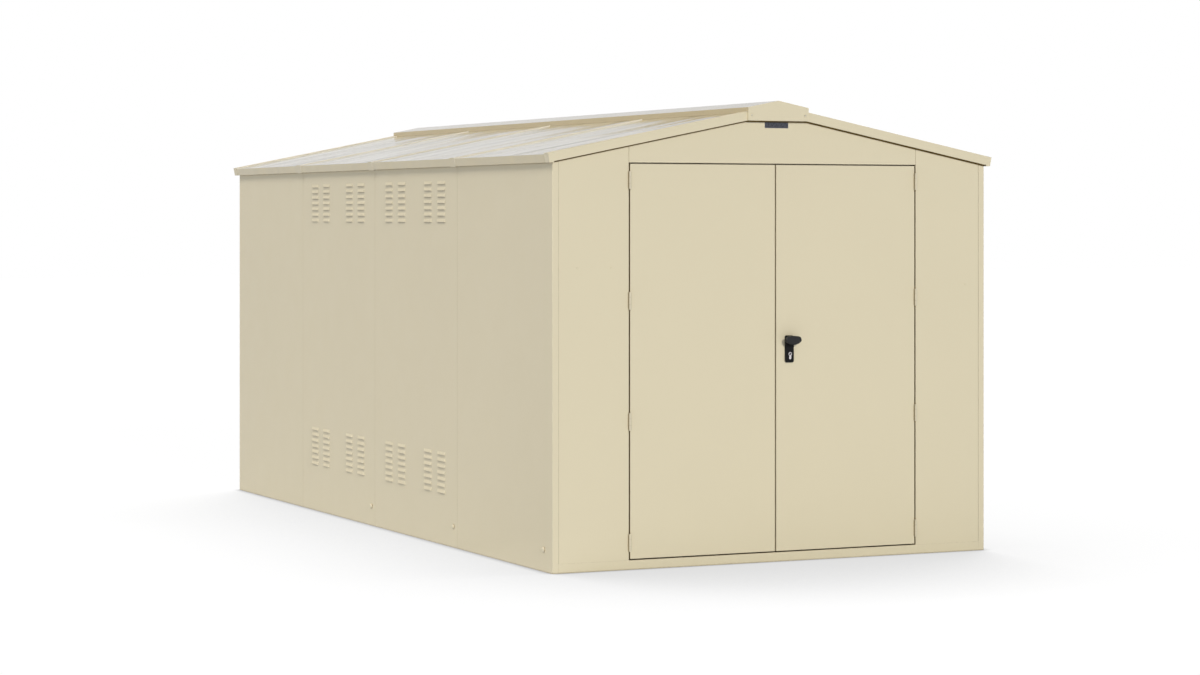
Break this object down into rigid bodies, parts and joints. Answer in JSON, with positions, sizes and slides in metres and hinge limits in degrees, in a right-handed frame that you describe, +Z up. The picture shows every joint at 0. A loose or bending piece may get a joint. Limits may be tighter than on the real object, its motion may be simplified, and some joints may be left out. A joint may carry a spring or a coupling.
{
  "type": "metal garage",
  "caption": "Flat-pack steel garage with folded wall trays, louvred sides, a low gable roof with ridge cap and a pair of hinged front doors with a half-moon handle.",
  "frame": {"origin": "on the ground at the middle of the wall plan", "axes": "+X to the right seen from the front, +Y from the doors to the rear wall, +Z up; the doors face -Y"},
  "size_m": [2.2798, 4.4792, 2.0907],
  "materials": {
    "wall_panel": "satin powder coat, cream",
    "door_panel": "satin powder coat, cream",
    "roof_panel": "satin powder coat, cream",
    "trim": "satin powder coat, cream",
    "hinge": "satin powder coat, cream",
    "floor": "galvanised",
    "inner_frame": "galvanised",
    "lock_cylinder": "satin nickel",
    "handle": "black, fine texture"
  },
  "bodies": {
    "shell": {"left_side_panel_1": "wall_panel", "left_side_panel_2": "wall_panel", "left_side_panel_3": "wall_panel", "left_side_panel_4": "wall_panel", "right_side_panel_1": "wall_panel", "right_side_panel_2": "wall_panel", "right_side_panel_3": "wall_panel", "right_side_panel_4": "wall_panel", "front_left_panel": "wall_panel", "front_right_panel": "wall_panel", "front_header_panel": "wall_panel", "rear_left_panel": "wall_panel", "rear_right_panel": "wall_panel", "front_base_rail": "wall_panel", "rear_base_rail": "wall_panel", "side_base_rails": "wall_panel", "floor_panels": "floor", "left_roof_panel_1": "roof_panel", "left_roof_panel_2": "roof_panel", "left_roof_panel_3": "roof_panel", "left_roof_panel_4": "roof_panel", "right_roof_panel_1": "roof_panel", "right_roof_panel_2": "roof_panel", "right_roof_panel_3": "roof_panel", "right_roof_panel_4": "roof_panel", "front_left_verge": "trim", "front_right_verge": "trim", "rear_left_verge": "trim", "rear_right_verge": "trim", "ridge_cap_1": "trim", "ridge_cap_2": "trim", "ridge_cap_3": "trim", "front_ridge_end": "trim", "rear_ridge_end": "trim", "ridge_beam": "inner_frame", "door_stops": "trim", "frame_hinges": "hinge"},
    "left_door": {"left_door": "door_panel", "left_door_hinges": "hinge"},
    "right_door": {"right_door": "door_panel", "right_door_hinges": "hinge", "lock_case": "inner_frame", "lock_cylinder": "lock_cylinder", "handle_backplate": "handle"},
    "turn_handle": {"turn_handle": "handle"}
  },
  "joints": [
    {"name": "left_door_swing", "type": "hinge", "parent": "shell", "child": "left_door", "pos_m": [-0.735, -2.2065, 0.0475], "axis": [0, 0, -1], "range_deg": [0, 170]},
    {"name": "right_door_swing", "type": "hinge", "parent": "shell", "child": "right_door", "pos_m": [0.735, -2.2065, 0.0475], "axis": [0, 0, 1], "range_deg": [0, 170]},
    {"name": "handle_turn", "type": "hinge", "parent": "right_door", "child": "turn_handle", "pos_m": [0.068, -2.2, 1.003], "axis": [0, 1, 0], "range_deg": [0, 90]}
  ]
}
